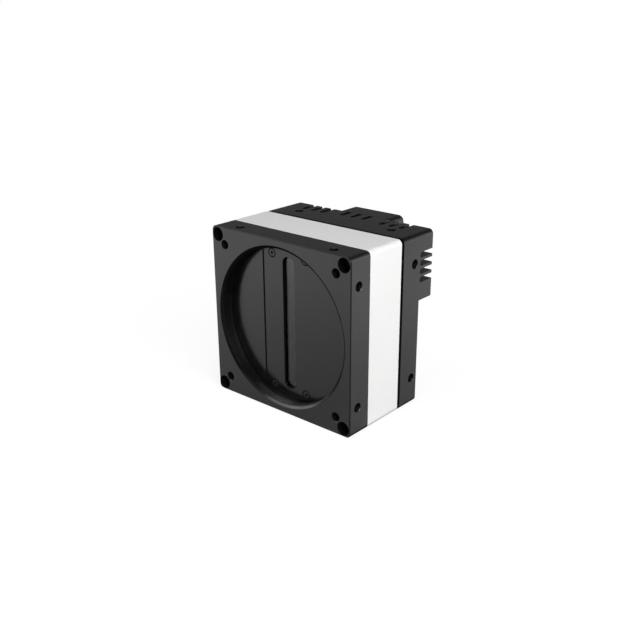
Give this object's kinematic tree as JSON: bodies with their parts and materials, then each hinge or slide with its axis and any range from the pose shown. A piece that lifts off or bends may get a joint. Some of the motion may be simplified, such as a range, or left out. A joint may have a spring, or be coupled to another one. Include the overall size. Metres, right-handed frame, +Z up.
{
  "type": "line-scan machine vision camera",
  "caption": "Square black and white camera body with a large screw lens mount, a slotted sensor cover, side mounting holes, a finned back and a raised network jack.",
  "frame": {"origin": "centre of the lens mount on the front face", "axes": "+Y runs back along the optical axis, +X to the right seen from the front, +Z up; the lens side faces -Y"},
  "size_m": [0.08, 0.0695, 0.08],
  "materials": {
    "black_anodised": "satin black anodised",
    "light_paint": "satin off-white powder coat",
    "dark_rubber": "matte",
    "black_steel": "black oxide, satin",
    "lid_glass": "clear",
    "sensor_ceramic": "fired ceramic, satin",
    "silicon": "polished",
    "board_laminate": "solder resist, semi-gloss",
    "moulded_black": "moulded, fine grain",
    "moulded_cream": "moulded, matte",
    "plated_post": "nickel plated",
    "gold_contact": "gold plated",
    "plated_shell": "nickel plated",
    "grey_pad": "soft, matte",
    "light_guide": "clear moulded"
  },
  "bodies": {
    "root": {"lens_mount_plate": "black_anodised", "rear_housing": "black_anodised", "sensor_cover": "black_anodised", "middle_housing": "light_paint", "housing_gasket": "dark_rubber", "sensor_seal": "dark_rubber", "housing_screws": "black_steel", "cover_screws": "black_steel", "board_screws": "black_steel", "image_sensor_glass": "lid_glass", "image_sensor_package": "sensor_ceramic", "image_sensor_die": "silicon", "sensor_board": "board_laminate", "power_board": "board_laminate", "processor_board": "board_laminate", "front_posts": "plated_post", "rear_posts": "plated_post", "front_board_link": "moulded_cream", "rear_board_link": "moulded_cream", "power_inductors": "moulded_black", "processor_chip": "moulded_black", "memory_chips": "moulded_black", "thermal_pad": "grey_pad", "network_jack_shell": "plated_shell", "network_jack_insert": "moulded_black", "network_jack_contacts": "gold_contact", "power_connector_shell": "plated_shell", "power_connector_insert": "moulded_black", "power_connector_nut": "plated_shell", "power_connector_pins": "gold_contact", "signal_connector_shell": "plated_shell", "signal_connector_insert": "moulded_black", "signal_connector_nut": "plated_shell", "signal_connector_pins": "gold_contact", "status_light_pipe": "light_guide", "status_lamp": "light_guide"}
  },
  "joints": []
}
